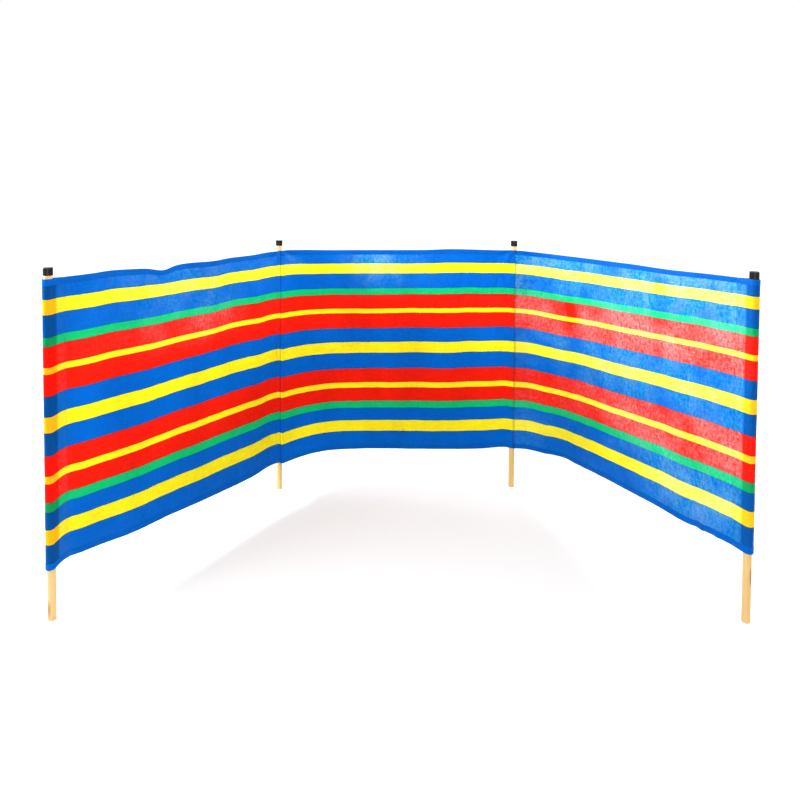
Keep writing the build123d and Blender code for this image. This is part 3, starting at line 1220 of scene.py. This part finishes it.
for side in ("left", "right"):
    for piece in (sheet[side], *hems_of(side)):
        bend(piece, side, start[side][0], BEND[side])
    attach(end_pocket[side], f"{side}_bay")
bend(inner_pocket["left_inner"], "left", start["left"][0], BEND["left"])
bend(inner_pocket["right_inner"], "right", -9 * MM, 28 * MM)
for piece in (sheet["middle"], *hems_of("middle")):
    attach(piece, "middle_bay")
for name, (side, _, _) in POCKET_SEAMS.items():
    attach(pocket_stitches[name], f"{side}_bay")
print("bending at an inner pole:", 2 * (1 + len(hems_of("left"))) + len(inner_pocket), "pieces")

# %% [markdown]
# The ready-made model has plain stand-ins for the cloth. The new pieces take their place, so the
# stand-ins are hidden, and for each sheet a list is made of the hems, pockets and stitches that are
# sewn to it.

# %% Hide the stand-ins, and list what is sewn to each sheet
for side in BAYS:
    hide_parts(f"{side}_panel")
    for which in ("top", "bottom"):
        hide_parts(f"{side}_{which}_hem")
for side in ("left", "right"):
    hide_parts(f"{side}_end_pocket")
for name in INNER_SEAM:
    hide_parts(f"{name}_pocket")

# The hems, pockets and stitches that go with each bay's sheet; all of the cloth is a metre high
for side, bay in BAYS.items():
    goes_with = hems_of(side)
    goes_with += [end_pocket[side]] if side in end_pocket else list(inner_pocket.values())
    goes_with += [pocket_stitches[name] for name, (where, _, _) in POCKET_SEAMS.items() if where == side]
print("declared", len(BAYS), "sheets")

# %% [markdown]
# ## The studio
#
# The windbreak stands on a white floor in a white room. Both are white because of their own colour
# and a little glow that only the camera and mirrors see, not because of strong lamps, so the cloth
# keeps its colours and the floor still shows a soft shadow. The glow is strongest away from the
# windbreak, so that the shadow is seen only near it.

# %% White room and floor
scene = bpy.context.scene
scene.view_settings.view_transform = "Standard"


def seen_directly(tree):
    """1 for a ray from the camera or one that a mirror or glass sends on, else 0."""
    path = add(tree, "LightPath").outputs
    either = calc(tree, "ADD", path["Is Camera Ray"], path["Is Glossy Ray"])
    return calc(tree, "ADD", either, path["Is Transmission Ray"], clamp=True)


ROOM_LIGHT = 0.56    # what the room gives the windbreak, where the camera sees 1
scene.world = bpy.data.worlds.new("white room")
scene.world.use_nodes = True
tree = scene.world.node_tree
tree.nodes.clear()
air = add(tree, "Background", Color=(1, 1, 1, 1))
feed(tree, air, add(tree, "OutputWorld").inputs[0])
feed(tree, fit(tree, seen_directly(tree), 1.0 - ROOM_LIGHT, ROOM_LIGHT), air.inputs["Strength"])

bpy.ops.object.select_all(action="DESELECT")
bpy.ops.mesh.primitive_plane_add(size=60)
floor = bpy.context.object
floor.name = "floor"
paper, tree, shader = new_material("white paper floor")
set_up(shader, Base_Color=(0.60, 0.60, 0.60, 1), Emission_Color=(1, 1, 1, 1))
set_up(shader, Roughness=0.9, Specular_IOR_Level=0.1)
# The glow under the windbreak, and the glow further off than the second of these two reaches
NEAR_GLOW, FAR_GLOW = 0.37, 0.92
NEAR_REACH, FAR_REACH = 1.1, 2.4
away = add(tree, "VectorMath", operation="DISTANCE", in_1=(0.55, -0.35, 0.0))
feed(tree, add(tree, "TexCoord").outputs["Object"], away.inputs[0])
glow = add(
    tree, "MapRange", interpolation_type="SMOOTHSTEP",
    From_Min=NEAR_REACH, From_Max=FAR_REACH, To_Min=NEAR_GLOW, To_Max=FAR_GLOW,
)
feed(tree, away.outputs["Value"], glow.inputs[0])
feed(tree, times(tree, seen_directly(tree), glow), shader.inputs["Emission Strength"])
floor.data.materials.append(paper)
print("room light", ROOM_LIGHT)


# %% [markdown]
# Six softboxes light the cloth. Two stand outside the U on its left and one on its right, a little
# higher than the cloth, and shine across it: their light glances off the film and draws its
# crinkles. The two on the left are tinted like the sky, so the blues keep their colour where the
# film shines. The others, overhead, in front and behind, light both faces of the cloth evenly.

# %% Softboxes
def softbox(name, place, target, size, power, colour=(1, 1, 1)):
    data = bpy.data.lights.new(name, "AREA")
    data.shape = "RECTANGLE"
    data.size, data.size_y = size
    data.energy = power
    data.color = colour
    lamp = bpy.data.objects.new(name, data)
    scene.collection.objects.link(lamp)
    lamp.location = place
    lamp.rotation_mode = "QUATERNION"
    lamp.rotation_quaternion = (Vector(target) - Vector(place)).to_track_quat("-Z", "Y")
    lamp.visible_camera = False
    return lamp


SKY = (0.74, 0.95, 1.0)
softbox("overhead softbox", (0.55, -1.3, 3.0), (0.55, -0.2, 0.9), (2.6, 1.4), 36)
softbox("left softbox", (-2.0, -0.5, 1.72), (1.4, -0.5, 1.0), (2.8, 0.6), 155, SKY)
softbox("left strip light", (-2.1, 0.6, 1.62), (1.45, -0.5, 1.0), (1.4, 0.3), 70, SKY)
softbox("right softbox", (3.3, -0.5, 1.75), (-0.3, -0.45, 1.0), (2.2, 0.8), 68)
softbox("front softbox", (0.6, -4.6, 0.9), (0.6, 0.0, 0.5), (3.0, 1.2), 48)
softbox("back softbox", (0.6, 4.0, 2.6), (0.6, 0.0, 0.6), (2.6, 1.6), 90)

# %% [markdown]
# ## The camera
#
# The camera looks into the U from the eye height of someone who stands, a little to the left of the
# middle and tipped down by two degrees. It is turned by small angles about itself: heading, then
# pitch, then roll. The lens is shifted so that the windbreak sits in the frame without tipping the
# camera further, which keeps the poles nearly upright.

# %% Set the camera
EYE = (0.4668, -3.1553, 1.5232)
HEADING, PITCH_DOWN, ROLL = radians(1.945), radians(2.0), radians(0.365)
camera = bpy.data.objects.new("camera", bpy.data.cameras.new("camera"))
scene.collection.objects.link(camera)
camera.data.sensor_width = 36
camera.data.lens = 29.77
camera.data.shift_y = -0.2551
look = Vector((sin(HEADING) * cos(PITCH_DOWN), cos(HEADING) * cos(PITCH_DOWN), -sin(PITCH_DOWN)))
camera.rotation_mode = "QUATERNION"
camera.rotation_quaternion = look.to_track_quat("-Z", "Y") @ Quaternion((0, 0, 1), ROLL)
camera.location = EYE
scene.camera = camera
print("lens", camera.data.lens, "mm, shift", camera.data.shift_y)
